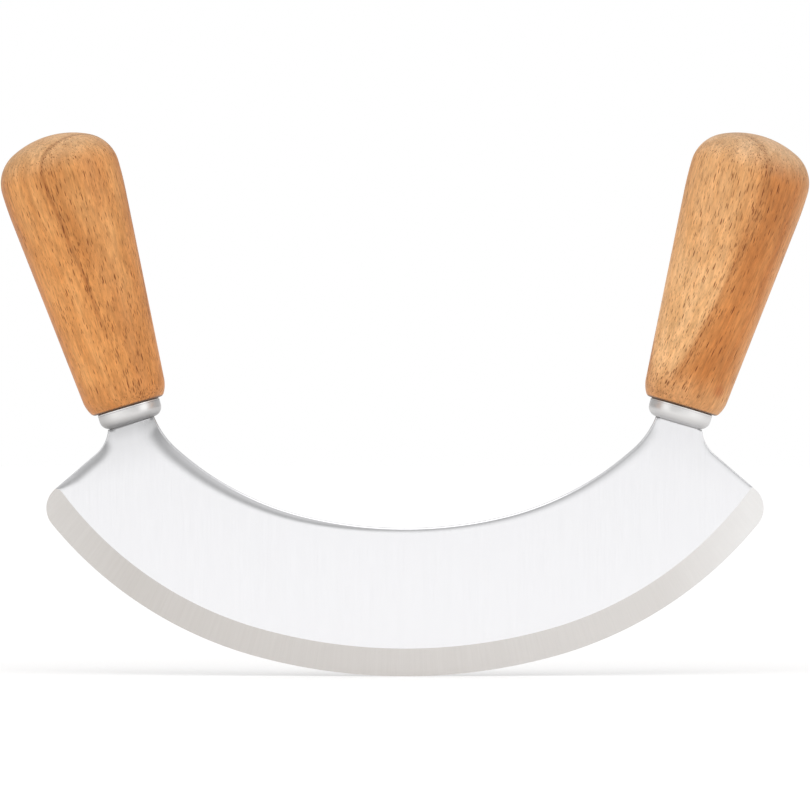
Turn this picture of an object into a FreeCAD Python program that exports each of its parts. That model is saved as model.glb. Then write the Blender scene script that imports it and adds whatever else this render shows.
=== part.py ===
import FreeCAD
import Part
import Sketcher
import math
import os

# Two-handled mezzaluna: a crescent blade with two leaning wooden handles.
# The lowest point of the cutting edge is the origin, X runs along the blade,
# Y through its thickness (the front face looks to -Y) and Z up to the handles.

SIZES = {
    # blade outline
    "blade_length": 180.0,
    "blade_depth": 37.2,
    "blade_thickness": 2.0,
    "tip_height": 41.7,
    "tip_radius": 5.0,
    "edge_mid_radius": 142.0,
    "edge_mid_width": 75.0,
    "spine_mid_radius": 106.0,
    "spine_mid_width": 50.0,
    "spine_land": 0.5,
    # ground bevels
    "bevel_width": 7.0,
    "edge_thickness": 0.3,
    "cutter_overrun": 1.0,
    "grind_runout": 14.0,
    # necks and tangs
    "seat_inset": 21.9,
    "seat_rise": 21.5,
    "neck_width": 11.4,
    "neck_radius": 11.5,
    "flare_angle": 25.0,
    "tang_width": 7.0,
    "tang_end_width": 4.0,
    "tang_thickness": 1.6,
    "tang_root": 3.0,
    "tang_end_gap": 3.0,
    # ferrules
    "ferrule_diameter": 16.0,
    "ferrule_height": 5.25,
    "ferrule_wall": 0.9,
    "ferrule_corner": 2.5,
    "ferrule_rim_chamfer": 0.3,
    "slot_clearance": 0.15,
    # handles
    "lean_angle": 16.5,
    "handle_length": 70.2,
    "belly_diameter": 30.3,
    "belly_curve_radius": 90.0,
    "crown_radius": 9.4,
    "dome_radius": 22.4,
    "flank_overhang": 2.3,
    "base_overhang": 0.4,
    "base_round": 1.3,
    "base_ease_radius": 8.0,
    "tenon_clearance": 0.15,
    "tenon_end_gap": 0.2,
    "bore_clearance": 0.5,
    "bore_cover": 27.4,
}

START, END, CENTRE = 1, 2, 3
ORIGIN = (-1, 1)
AXIS_ACROSS, AXIS_UP = -1, -2
RIGHT, LEFT = 1, -1
QUARTER_TURN, HALF_TURN, FULL_TURN = 90, 180, 360


class Size:
    """A length or angle that knows its value and how the sheet works it out."""

    def __init__(self, value, text):
        self.value = value
        self.text = text

    def combine(self, other, sign, value):
        text = other.text if isinstance(other, Size) else str(other)
        return Size(value, "(%s %s %s)" % (self.text, sign, text))

    def __add__(self, other):
        return self.combine(other, "+", self.value + plain(other))

    def __sub__(self, other):
        return self.combine(other, "-", self.value - plain(other))

    def __mul__(self, other):
        return self.combine(other, "*", self.value * plain(other))

    def __truediv__(self, other):
        return self.combine(other, "/", self.value / plain(other))

    def __neg__(self):
        return Size(-self.value, "(-%s)" % self.text)


def plain(number):
    return number.value if isinstance(number, Size) else number


def sine(angle):
    return Size(math.sin(math.radians(angle.value)), "sin(%s)" % angle.text)


def cosine(angle):
    return Size(math.cos(math.radians(angle.value)), "cos(%s)" % angle.text)


def make_sheet(document):
    sheet = document.addObject("Spreadsheet::Sheet", "sizes")
    for row, (alias, value) in enumerate(SIZES.items(), start=1):
        sheet.set("A%d" % row, alias)
        sheet.set("B%d" % row, str(value))
        sheet.setAlias("B%d" % row, alias)
    document.recompute()
    return sheet


doc = FreeCAD.newDocument("mezzaluna")
sheet = make_sheet(doc)


def size(alias):
    return Size(float(sheet.get(alias)), "sizes." + alias)


def point(pair):
    return FreeCAD.Vector(plain(pair[0]), plain(pair[1]), 0)


def line(start, end):
    return Part.LineSegment(point(start), point(end))


def arc(centre, radius, start, end):
    # anticlockwise arc between two angles in radians
    circle = Part.Circle(point(centre), FreeCAD.Vector(0, 0, 1), plain(radius))
    return Part.ArcOfCircle(circle, start, end)


def along(start, angle, distance):
    return (
        plain(start[0]) + plain(distance) * math.cos(angle),
        plain(start[1]) + plain(distance) * math.sin(angle),
    )


def angle_to(start, end):
    return math.atan2(plain(end[1]) - plain(start[1]), plain(end[0]) - plain(start[0]))


def distance_to(start, end):
    return math.hypot(plain(end[0]) - plain(start[0]), plain(end[1]) - plain(start[1]))


def touching_radius(joint, turn, target, target_radius):
    # radius of the arc that leaves the joint along its tangent and touches the target from outside
    inward = turn + math.pi / 2
    reach = distance_to(joint, target) * math.cos(angle_to(joint, target) - inward)
    spread = distance_to(joint, target) ** 2 - target_radius ** 2
    return spread / (2 * (reach - target_radius))


def new_body(label):
    body = doc.addObject("PartDesign::Body", label)
    body.Label = label
    return body


def origin_feature(body, role):
    return [f for f in body.Origin.OriginFeatures if f.Role == role][0]


def new_sketch(body, role, name):
    sketch = body.newObject("Sketcher::SketchObject", name)
    sketch.AttachmentSupport = [(origin_feature(body, role), "")]
    sketch.MapMode = "FlatFace"
    return sketch


def rule(sketch, *args):
    return sketch.addConstraint(Sketcher.Constraint(*args))


def dimension(sketch, amount, kind, *args):
    # a dimension that takes its value from the sheet
    value = math.radians(amount.value) if kind == "Angle" else amount.value
    index = rule(sketch, kind, *args, value)
    name = "size_%d" % index
    sketch.renameConstraint(index, name)
    sketch.setExpression("Constraints." + name, amount.text)


def pin(sketch, geometry, end, across, up):
    # holds one point at its place in the sketch
    if plain(across) == 0:
        rule(sketch, "PointOnObject", geometry, end, AXIS_UP)
    else:
        dimension(sketch, across, "DistanceX", *ORIGIN, geometry, end)
    if plain(up) == 0:
        rule(sketch, "PointOnObject", geometry, end, AXIS_ACROSS)
    else:
        dimension(sketch, up, "DistanceY", *ORIGIN, geometry, end)


def join(sketch, kind, pieces):
    # fastens each piece's end to the next one's start
    for first, second in zip(pieces, pieces[1:]):
        rule(sketch, kind, first, END, second, START)


# Places that the blade, the ferrules and the handles share
lean = size("lean_angle")
tip_centre = (size("blade_length") / 2 - size("tip_radius"), size("tip_height"))
seat = (size("blade_length") / 2 - size("seat_inset"), size("tip_height") + size("seat_rise"))
handle_axis = math.pi / 2 - math.radians(lean.value)
seat_line = -math.radians(lean.value)

handle_foot = size("ferrule_height")
handle_top = handle_foot + size("handle_length")
bore_end = handle_top - size("bore_cover")
bore_radius = size("tang_width") / 2 + size("bore_clearance")
tang_end = bore_end - size("tang_end_gap")
cup_radius = size("ferrule_diameter") / 2 - size("ferrule_wall")
cup_corner = size("ferrule_corner") - size("ferrule_wall")
tenon_radius = cup_radius - size("tenon_clearance")
tenon_end = size("ferrule_wall") + size("tenon_end_gap")


def neck_shape():
    # seat corners, flare angle and centre of the neck's outer arc, and the shoulder's normal angle
    half = size("neck_width") / 2
    outer = along(seat, seat_line, half)
    inner = along(seat, seat_line, -half)
    flare = size("flare_angle") - lean
    centre = along(outer, math.radians(flare.value), size("neck_radius"))
    radii = size("tip_radius") + size("neck_radius")
    normal = angle_to(tip_centre, centre) - math.acos(radii.value / distance_to(tip_centre, centre))
    return outer, inner, flare, centre, normal


def add_cutting_edge(sketch, rise=None):
    # two arcs from the middle of the edge to the tip, or on past it to a rise, and the tip's circle
    radius = size("edge_mid_radius")
    half = size("edge_mid_width") / 2
    turn = math.asin(half.value / radius.value)
    joint = (half, radius.value * (1 - math.cos(turn)))
    tip_radius = size("tip_radius")
    end_radius = touching_radius(joint, turn, tip_centre, tip_radius.value)
    end_centre = along(joint, turn + math.pi / 2, end_radius)
    touch = angle_to(end_centre, tip_centre)
    end_angle = touch
    if rise is not None:
        end_angle = math.asin((rise.value - end_centre[1]) / end_radius)

    foot = -math.pi / 2
    shoulder_normal = neck_shape()[-1]
    middle = sketch.addGeometry(arc((0, radius), radius, foot, foot + turn))
    end = sketch.addGeometry(arc(end_centre, end_radius, foot + turn, end_angle))
    tip = sketch.addGeometry(arc(tip_centre, tip_radius, touch, shoulder_normal))
    rule(sketch, "Coincident", middle, START, *ORIGIN)
    rule(sketch, "PointOnObject", middle, CENTRE, AXIS_UP)
    dimension(sketch, radius, "Radius", middle)
    dimension(sketch, half, "DistanceX", *ORIGIN, middle, END)
    join(sketch, "Tangent", [middle, end])
    dimension(sketch, tip_radius, "Radius", tip)
    pin(sketch, tip, CENTRE, *tip_centre)
    return end, tip


def add_neck(sketch, tip):
    # the straight shoulder above the tip, the flared neck and the seat on top of it
    outer, inner, flare, centre, normal = neck_shape()
    radius = size("neck_radius")
    low = along(tip_centre, normal, size("tip_radius"))
    high = along(centre, normal, -radius)
    shoulder = sketch.addGeometry(line(low, high))
    neck = sketch.addGeometry(
        arc(centre, radius, math.pi + math.radians(flare.value), math.pi + normal)
    )
    top = sketch.addGeometry(line(outer, inner))
    middle = sketch.addGeometry(Part.Point(point(seat)), True)
    spoke = sketch.addGeometry(line(outer, centre), True)
    join(sketch, "Tangent", [tip, shoulder])
    rule(sketch, "Tangent", shoulder, END, neck, END)
    rule(sketch, "Coincident", neck, START, top, START)
    rule(sketch, "Coincident", spoke, START, top, START)
    rule(sketch, "Coincident", spoke, END, neck, CENTRE)
    dimension(sketch, radius, "Radius", neck)
    dimension(sketch, flare, "Angle", spoke)
    pin(sketch, middle, START, *seat)
    rule(sketch, "Symmetric", top, START, top, END, middle, START)
    dimension(sketch, size("neck_width"), "Distance", top)
    dimension(sketch, -lean + HALF_TURN, "Angle", top)
    return top, inner


def add_spine(sketch, top, inner):
    # two arcs from the inner corner of the seat down to the middle of the spine
    radius = size("spine_mid_radius")
    half = size("spine_mid_width") / 2
    depth = size("blade_depth")
    turn = math.asin(half.value / radius.value)
    joint = (half, depth.value + radius.value * (1 - math.cos(turn)))
    end_radius = touching_radius(joint, turn, inner, 0)
    end_centre = along(joint, turn + math.pi / 2, end_radius)
    foot = -math.pi / 2
    middle = sketch.addGeometry(arc((0, depth + radius), radius, foot, foot + turn))
    end = sketch.addGeometry(
        arc(end_centre, end_radius, foot + turn, angle_to(end_centre, inner))
    )
    closing = sketch.addGeometry(line((0, depth), (0, 0)))
    rule(sketch, "Coincident", end, END, top, END)
    join(sketch, "Tangent", [middle, end])
    rule(sketch, "PointOnObject", middle, CENTRE, AXIS_UP)
    pin(sketch, middle, START, 0, depth)
    dimension(sketch, radius, "Radius", middle)
    dimension(sketch, half, "DistanceX", *ORIGIN, middle, END)
    rule(sketch, "Coincident", closing, START, middle, START)
    rule(sketch, "Coincident", closing, END, *ORIGIN)


def sketch_outline(body):
    sketch = new_sketch(body, "XZ_Plane", "outline")
    end, tip = add_cutting_edge(sketch)
    join(sketch, "Tangent", [end, tip])
    top, inner = add_neck(sketch, tip)
    add_spine(sketch, top, inner)
    return sketch


def sketch_grind_path(body):
    # the cutting edge, carried on past the tip so that the bevel runs out at the shoulder
    sketch = new_sketch(body, "XZ_Plane", "grind_path")
    rise = size("tip_height") + size("grind_runout")
    end, tip = add_cutting_edge(sketch, rise)
    sketch.setConstruction(tip, True)
    middle = sketch.getPoint(end, CENTRE)
    touch = sketch.getPoint(tip, START)
    spoke = sketch.addGeometry(Part.LineSegment(middle, touch), True)
    rule(sketch, "Coincident", spoke, START, end, CENTRE)
    rule(sketch, "Coincident", spoke, END, tip, START)
    rule(sketch, "PointOnObject", tip, CENTRE, spoke)
    rule(sketch, "PointOnObject", tip, START, end)
    rule(sketch, "Vertical", tip, CENTRE, tip, END)
    dimension(sketch, rise, "DistanceY", *ORIGIN, end, END)
    return sketch


def sketch_grind_wedge(body):
    # the metal that one bevel takes off, seen in the middle section
    sketch = new_sketch(body, "YZ_Plane", "grind_wedge")
    half = size("blade_thickness") / 2
    land = size("edge_thickness") / 2
    width = size("bevel_width")
    over = size("cutter_overrun")
    slope = (half.value - land.value) / width.value
    low = (-land.value + over.value * slope, -over)
    high = (-(half + over), width.value + over.value / slope)
    corner = (high[0], low[1])

    bevel = sketch.addGeometry(line((-land, 0), (-half, width)), True)
    pin(sketch, bevel, START, -land, 0)
    pin(sketch, bevel, END, -half, width)
    cut = sketch.addGeometry(line(low, high))
    side = sketch.addGeometry(line(high, corner))
    base = sketch.addGeometry(line(corner, low))
    join(sketch, "Coincident", [cut, side, base, cut])
    rule(sketch, "Vertical", side)
    rule(sketch, "Horizontal", base)
    rule(sketch, "PointOnObject", cut, START, bevel)
    rule(sketch, "PointOnObject", cut, END, bevel)
    dimension(sketch, -over, "DistanceY", *ORIGIN, cut, START)
    dimension(sketch, -(half + over), "DistanceX", *ORIGIN, cut, END)
    return sketch


def sketch_tang(body):
    # a tapered strip on the handle axis, rooted a little way inside the neck
    sketch = new_sketch(body, "XZ_Plane", "tang_outline")
    root = size("tang_root")
    foot = along(seat, handle_axis, -root)
    head = along(seat, handle_axis, tang_end)
    wide = size("tang_width") / 2
    narrow = size("tang_end_width") / 2
    corners = [
        along(foot, seat_line, -wide),
        along(foot, seat_line, wide),
        along(head, seat_line, narrow),
        along(head, seat_line, -narrow),
    ]
    sides = []
    for first, second in zip(corners, corners[1:] + corners[:1]):
        sides.append(sketch.addGeometry(line(first, second)))
    join(sketch, "Coincident", sides + sides[:1])
    below = sides[0]
    above = sides[2]

    middle = sketch.addGeometry(Part.Point(point(seat)), True)
    axis = sketch.addGeometry(line(foot, head), True)
    pin(sketch, middle, START, *seat)
    rule(sketch, "PointOnObject", middle, START, axis)
    dimension(sketch, -lean + QUARTER_TURN, "Angle", axis)
    dimension(sketch, root + tang_end, "Distance", axis)
    dimension(sketch, root, "Distance", middle, START, axis, START)
    rule(sketch, "Symmetric", below, START, below, END, axis, START)
    rule(sketch, "Symmetric", above, START, above, END, axis, END)
    rule(sketch, "Perpendicular", below, axis)
    rule(sketch, "Perpendicular", above, axis)
    dimension(sketch, size("tang_width"), "Distance", below)
    dimension(sketch, size("tang_end_width"), "Distance", above)
    return sketch


def pad_plate(body, name, sketch, thickness):
    pad = body.newObject("PartDesign::Pad", name)
    pad.Profile = sketch
    pad.SideType = "Symmetric"
    pad.setExpression("Length", thickness.text)
    return pad


def mirror(body, name, originals, role):
    feature = body.newObject("PartDesign::Mirrored", name)
    feature.Originals = originals
    feature.MirrorPlane = (origin_feature(body, role), [""])
    return feature


def edges_where(feature, wanted):
    numbered = enumerate(feature.Shape.Edges, start=1)
    return ["Edge%d" % number for number, edge in numbered if wanted(edge)]


def runs_through(edge):
    return edge.BoundBox.YLength > size("tang_thickness").value / 2


def on_face(edge):
    half = size("blade_thickness").value / 2
    return abs(abs(edge.CenterOfMass.y) - half) < 1e-6


def middle_near(edge, place, reach):
    centre = edge.CenterOfMass
    return math.hypot(abs(centre.x) - plain(place[0]), centre.z - plain(place[1])) < reach


def is_rim(edge):
    # an edge of the front or back face, apart from the two seats
    return on_face(edge) and not middle_near(edge, seat, size("blade_thickness").value / 2)


def is_tang_corner(edge):
    # a short edge through the thickness at the end of a tang
    head = along(seat, handle_axis, tang_end)
    return runs_through(edge) and middle_near(edge, head, size("tang_end_width").value)


def build_blade():
    body = new_body("blade")
    half = pad_plate(body, "half_blank", sketch_outline(body), size("blade_thickness"))
    blank = mirror(body, "blank", [half], "YZ_Plane")
    body.Tip = blank
    doc.recompute()

    # both rims of the outline are softened, apart from the seats
    soft = body.newObject("PartDesign::Fillet", "soft_rims")
    soft.Base = (blank, edges_where(blank, is_rim))
    soft.setExpression("Radius", ((size("blade_thickness") - size("spine_land")) / 2).text)
    doc.recompute()

    # one bevel is ground on the right of the front, then copied to the left and the back
    grind = body.newObject("PartDesign::SubtractivePipe", "grind")
    grind.Profile = sketch_grind_wedge(body)
    grind.Spine = (sketch_grind_path(body), ["Edge1", "Edge2"])
    doc.recompute()
    bevels = body.newObject("PartDesign::MultiTransform", "bevels")
    bevels.Originals = [grind]
    bevels.Transformations = [
        mirror(body, "to_left", [], "YZ_Plane"),
        mirror(body, "to_back", [], "XZ_Plane"),
    ]
    body.Tip = bevels
    doc.recompute()

    tang = pad_plate(body, "tang", sketch_tang(body), size("tang_thickness"))
    doc.recompute()
    tangs = mirror(body, "tangs", [tang], "YZ_Plane")
    body.Tip = tangs
    doc.recompute()
    ends = body.newObject("PartDesign::Fillet", "tang_ends")
    ends.Base = (tangs, edges_where(tangs, is_tang_corner))
    ends.setExpression("Radius", (size("tang_end_width") / 4).text)
    doc.recompute()
    return body


def spin(body, name, sketch):
    turned = body.newObject("PartDesign::Revolution", name)
    turned.Profile = sketch
    turned.ReferenceAxis = (sketch, ["V_Axis"])
    turned.Angle = FULL_TURN
    doc.recompute()
    return turned


def add_path(sketch, corners):
    # straight lines through pinned corners
    lines = []
    for first, second in zip(corners, corners[1:]):
        lines.append(sketch.addGeometry(line(first, second)))
    join(sketch, "Coincident", lines)
    for piece, corner in zip(lines, corners):
        pin(sketch, piece, START, *corner)
    pin(sketch, lines[-1], END, *corners[-1])
    return lines


def sketch_ferrule(body):
    # half section of a drawn cup: rounded foot, straight wall and chamfered rim
    sketch = new_sketch(body, "XZ_Plane", "section")
    radius = size("ferrule_diameter") / 2
    height = size("ferrule_height")
    corner = size("ferrule_corner")
    floor = size("ferrule_wall")
    chamfer = size("ferrule_rim_chamfer")

    outside = add_path(sketch, [
        (radius, corner),
        (radius, height - chamfer),
        (radius - chamfer, height),
        (cup_radius, height),
        (cup_radius, floor + cup_corner),
    ])
    under = add_path(sketch, [(cup_radius - cup_corner, floor), (0, floor)])
    under += add_path(sketch, [(0, 0), (radius - corner, 0)])
    axis = sketch.addGeometry(line((0, floor), (0, 0)))
    inner = sketch.addGeometry(
        arc((cup_radius - cup_corner, floor + cup_corner), cup_corner, -math.pi / 2, 0)
    )
    outer = sketch.addGeometry(arc((radius - corner, corner), corner, -math.pi / 2, 0))
    rule(sketch, "Coincident", axis, START, under[0], END)
    rule(sketch, "Coincident", axis, END, under[1], START)
    rule(sketch, "Coincident", inner, START, under[0], START)
    rule(sketch, "Coincident", inner, END, outside[-1], END)
    rule(sketch, "Coincident", outer, START, under[1], END)
    rule(sketch, "Coincident", outer, END, outside[0], START)
    dimension(sketch, cup_corner, "Radius", inner)
    dimension(sketch, corner, "Radius", outer)
    return sketch


def sketch_slot(body):
    # opening in the cup floor for the tang
    sketch = new_sketch(body, "XY_Plane", "slot_outline")
    across = size("tang_width") / 2 + size("slot_clearance")
    through = size("tang_thickness") / 2 + size("slot_clearance")
    corners = [(-across, -through), (across, -through), (across, through), (-across, through)]
    sides = []
    for first, second in zip(corners, corners[1:] + corners[:1]):
        sides.append(sketch.addGeometry(line(first, second)))
    join(sketch, "Coincident", sides + sides[:1])
    for side in (sides[0], sides[2]):
        rule(sketch, "Horizontal", side)
    for side in (sides[1], sides[3]):
        rule(sketch, "Vertical", side)
    rule(sketch, "Symmetric", sides[0], START, sides[2], START, *ORIGIN)
    pin(sketch, sides[1], END, across, through)
    return sketch


def build_ferrule(label, side):
    body = new_body(label)
    spin(body, "cup", sketch_ferrule(body))
    slot = body.newObject("PartDesign::Pocket", "slot")
    slot.Profile = sketch_slot(body)
    slot.SideType = "Symmetric"
    slot.setExpression("Length", (size("ferrule_wall") * 4).text)
    stand_on_seat(body, side)
    return body


def sketch_handle(body):
    # half section of the handle: tenon, eased foot, long taper, belly, crown and dome
    sketch = new_sketch(body, "XZ_Plane", "section")
    foot = handle_foot
    flat = size("ferrule_diameter") / 2 + size("base_overhang")
    flank = size("ferrule_diameter") / 2 + size("flank_overhang")
    belly = size("belly_diameter") / 2
    base_round = size("base_round")
    ease = size("base_ease_radius")
    bow = size("belly_curve_radius")
    crown = size("crown_radius")
    dome = size("dome_radius")

    # starting shape of the curved side
    crown_across = belly.value - crown.value
    drop = math.sqrt((dome.value - crown.value) ** 2 - crown_across ** 2)
    dome_centre = (0, handle_top.value - dome.value)
    crown_centre = (crown_across, dome_centre[1] + drop)
    bow_centre = (belly.value - bow.value, crown_centre[1])
    flank_foot = (flank.value, foot.value)
    reach = distance_to(flank_foot, bow_centre)
    taper = angle_to(bow_centre, flank_foot) + math.acos(bow.value / reach)
    taper_top = along(bow_centre, taper, bow)
    rise = taper + math.pi / 2
    round_centre = (flat.value, foot.value + base_round.value)
    rail = along(flank_foot, taper, -ease.value)
    offset = (round_centre[0] - rail[0], round_centre[1] - rail[1])
    forward = offset[0] * math.cos(rise) + offset[1] * math.sin(rise)
    sideways = offset[0] * math.cos(taper) + offset[1] * math.sin(taper)
    step = math.sqrt((ease.value - base_round.value) ** 2 - sideways ** 2)
    ease_centre = along(rail, rise, forward + step)
    taper_foot = along(ease_centre, taper, ease)
    meet = angle_to(ease_centre, round_centre)

    lower = add_path(sketch, [
        (0, bore_end),
        (bore_radius, bore_end),
        (bore_radius, tenon_end),
        (tenon_radius - cup_corner, tenon_end),
        (tenon_radius, tenon_end + cup_corner),
        (tenon_radius, foot),
        (flat, foot),
    ])
    corner = sketch.addGeometry(arc(round_centre, base_round, -math.pi / 2, meet))
    eased = sketch.addGeometry(arc(ease_centre, ease, meet, taper))
    side = sketch.addGeometry(line(taper_foot, taper_top))
    bowed = sketch.addGeometry(arc(bow_centre, bow, taper, 0))
    shoulder = sketch.addGeometry(arc(crown_centre, crown, 0, angle_to(dome_centre, crown_centre)))
    top = sketch.addGeometry(arc(dome_centre, dome, angle_to(dome_centre, crown_centre), math.pi / 2))
    axis = sketch.addGeometry(line((0, handle_top), (0, bore_end)))
    join(sketch, "Tangent", [lower[-1], corner, eased, side, bowed, shoulder, top])
    rule(sketch, "Coincident", top, END, axis, START)
    rule(sketch, "Coincident", axis, END, lower[0], START)

    radii = {corner: base_round, eased: ease, bowed: bow, shoulder: crown, top: dome}
    for piece, radius in radii.items():
        dimension(sketch, radius, "Radius", piece)
    rule(sketch, "PointOnObject", top, CENTRE, AXIS_UP)
    pin(sketch, top, END, 0, handle_top)
    rule(sketch, "Horizontal", bowed, CENTRE, shoulder, CENTRE)
    dimension(sketch, belly, "DistanceX", *ORIGIN, bowed, END)
    heel = sketch.addGeometry(Part.Point(point((flank, foot))), True)
    pin(sketch, heel, START, flank, foot)
    rule(sketch, "PointOnObject", heel, START, side)
    return sketch


def build_handle(label, side):
    body = new_body(label)
    spin(body, "turned", sketch_handle(body))
    stand_on_seat(body, side)
    return body


def build_adhesive(label, side, blade):
    # resin fills the bore from the tenon's end up, wherever the tang is not
    fill = doc.addObject("Part::Cylinder", label + "_fill")
    fill.setExpression("Radius", bore_radius.text)
    fill.setExpression("Height", (bore_end - tenon_end).text)
    stand_on_seat(fill, side, tenon_end)
    resin = doc.addObject("Part::Cut", label)
    resin.Label = label
    resin.Base = fill
    resin.Tool = blade
    return resin


def stand_on_seat(thing, side, height=None):
    # stands a piece on a blade seat, along the leaning handle axis
    across, up = seat
    if height is not None:
        across = across + height * sine(lean)
        up = up + height * cosine(lean)
    turn = lean
    if side == LEFT:
        across = -across
        turn = -turn
    rotation = FreeCAD.Rotation(FreeCAD.Vector(0, 1, 0), turn.value)
    thing.Placement = FreeCAD.Placement(FreeCAD.Vector(across.value, 0, up.value), rotation)
    thing.setExpression("Placement.Base.x", across.text)
    thing.setExpression("Placement.Base.z", up.text)
    thing.setExpression("Placement.Rotation.Angle", turn.text)


def check(document, pieces):
    for thing in document.Objects:
        if "Invalid" in thing.State or "Error" in thing.State:
            raise RuntimeError("%s did not recompute: %s" % (thing.Label, thing.State))
    for piece in pieces:
        if piece.Shape.isNull() or not piece.Shape.isValid():
            raise RuntimeError("%s has no valid shape" % piece.Label)
        if len(piece.Shape.Solids) != 1:
            raise RuntimeError("%s is not one solid" % piece.Label)


blade = build_blade()
pieces = [blade]
for name, side in (("left", LEFT), ("right", RIGHT)):
    pieces.append(build_ferrule("ferrule_" + name, side))
    pieces.append(build_handle("handle_" + name, side))
    pieces.append(build_adhesive("tang_adhesive_" + name, side, blade))
doc.recompute()
check(doc, pieces)

os.makedirs("parts", exist_ok=True)
for piece in pieces:
    piece.Shape.exportStep("parts/%s.step" % piece.Label)
    print(piece.Label, round(piece.Shape.Volume, 1), "mm3")
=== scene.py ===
import math

import bmesh
import bpy
from mathutils import Matrix, Vector


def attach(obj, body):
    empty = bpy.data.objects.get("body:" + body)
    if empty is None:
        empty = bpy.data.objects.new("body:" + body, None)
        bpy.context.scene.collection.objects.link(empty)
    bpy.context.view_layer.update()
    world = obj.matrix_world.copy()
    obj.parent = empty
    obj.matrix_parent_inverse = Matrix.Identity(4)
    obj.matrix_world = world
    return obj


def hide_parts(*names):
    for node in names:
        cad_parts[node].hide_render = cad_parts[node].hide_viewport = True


# Two-handled mezzaluna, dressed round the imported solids. All lengths are in metres.

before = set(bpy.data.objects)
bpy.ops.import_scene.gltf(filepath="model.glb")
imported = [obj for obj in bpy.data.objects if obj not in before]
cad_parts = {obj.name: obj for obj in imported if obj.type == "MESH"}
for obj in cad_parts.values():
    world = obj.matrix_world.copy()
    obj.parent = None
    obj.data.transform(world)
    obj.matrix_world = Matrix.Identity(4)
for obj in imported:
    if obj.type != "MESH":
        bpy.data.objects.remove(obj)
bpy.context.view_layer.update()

# Sides, units and tolerances. NEARLY_STRAIGHT is the cosine of the turn between two edges.
LEFT, RIGHT = -1, 1
LOWER, UPPER = -1, 1
SIDE_NAMES = {LEFT: "left", RIGHT: "right"}
MM = 0.001
WELD = 0.000002
ON_FACE = 0.0000001
NEARLY_STRAIGHT = 0.95

# Blade: one half of its outline is the cutting edge, the tip, the shoulder, the neck and the spine
HALF_PLATE = 0.001
EDGE_HALF = 0.00015
BEVEL_WIDTH = 0.007
BLADE_HALF = 0.09
BLADE_DEPTH = 0.0372
EDGE_MIDDLE_RADIUS = 0.142
EDGE_MIDDLE_HALF = 0.0375
EDGE_END_RADIUS = 0.10035
TIP_RADIUS = 0.00635
SHOULDER_SLOPE = math.radians(40.5)
NECK_RADIUS = 0.009
SPINE_MIDDLE_RADIUS = 0.106
SPINE_MIDDLE_HALF = 0.025
SPINE_END_RADIUS = 0.075
SPINE_KNEE_HALF = 0.05745
BLADE_CREASE = math.radians(30)

# Seat of the handle's axis on the neck, how far up it the ferrule stands, and the tang inside
SEAT = Vector((0.0681, 0.0632))
LEAN = math.radians(16.5)
SEAT_LIFT = 0.0005
NECK_OUTER = 0.0065
NECK_INNER = 0.0055
TANG_HALF = 0.0035
TANG_END_SHARE = 4 / 7
TANG_LENGTH = 0.04505

# Rims worn round by polishing: wide and soft on the left horn, narrow on the right one
RIM_MIDDLE = 0.0015
RIM_SPINE = {LEFT: 0.0050, RIGHT: 0.0034}
RIM_SHOULDER = {LEFT: 0.0034, RIGHT: 0.0016}
RIM_TIP = {LEFT: 0.0020, RIGHT: 0.0014}
RIM_WIDENING = 0.006
TIP_TILT = {LEFT: 0.12, RIGHT: 0.08}
RIM_TILT = {LEFT: 0.26, RIGHT: 0.08}
SPINE_TILT = {LEFT: 0.26, RIGHT: 0.11}
RIM_FALL = 2.2
RIM_ROUND = 0.0003
SPINE_ROUND = 0.0005
SPINE_GROWTH = 1.7
TILT_GROWTH = 0.03
RIM_AT_SEAT = 0.6
RIM_NARROWING = 0.0035
SEAT_ROUND = 0.0002
SEAT_BAND = 0.0005
SEAT_CORNER_GAP = 0.00005
JOIN_FADE = 0.001

# Ferrule, turned about its own axis from its foot up
FERRULE_RADIUS = 0.008
FERRULE_HEIGHT = 0.0043
FERRULE_CORNER = 0.0025
FERRULE_WALL = 0.0009
FERRULE_FLOOR = 0.0006
FERRULE_CHAMFER = 0.0003
FERRULE_CREASE = math.radians(35)
SLOT_HALF = (0.00365, 0.00095)

# Handle, turned about the same axis: dome, crown, belly, straight flank and eased foot
HANDLE_TOP = 0.07545
DOME_RADIUS = 0.0224
CROWN_RADIUS = 0.0094
BELLY_RADIUS = 0.01515
BELLY_CURVE = 0.09
FLANK_SLOPE = math.radians(4.99)
FOOT_EASE = 0.008
FOOT_ROUND = 0.0013
FOOT_HALF = 0.00836
HANDLE_FOOT = SEAT_LIFT + FERRULE_HEIGHT
TENON_RADIUS = 0.00695
TENON_CORNER = 0.0016
TENON_END = 0.0012
BORE_RADIUS = 0.004
BORE_END = 0.04805
HANDLE_EASE = 0.9997
HANDLE_CREASE = math.radians(40)

# Points along each stretch of an outline
EDGE_MIDDLE_STEPS = 28
EDGE_END_STEPS = 48
TIP_STEPS = 14
JOIN_STEPS = 4
SHOULDER_STEPS = 10
NECK_STEPS = 12
SPINE_TOP_STEPS = 12
SPINE_END_STEPS = 36
SPINE_MIDDLE_STEPS = 18
ROUND_STEPS = 4
DUB_STEPS = 8
FERRULE_CORNER_STEPS = 12
FERRULE_WALL_STEPS = 4
CUP_WALL_STEPS = 2
CUP_CORNER_STEPS = 8
DOME_STEPS = 16
CROWN_STEPS = 24
BELLY_STEPS = 8
FLANK_STEPS = 16
EASE_STEPS = 10
FOOT_STEPS = 8
TURNED_STEPS = 144

# Camera and frame
FRAME_WIDTH = 0.20325
VIEW_HEIGHT = 0.06807
CAMERA_DISTANCE = 1.2
SENSOR_WIDTH = 36.0

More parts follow.
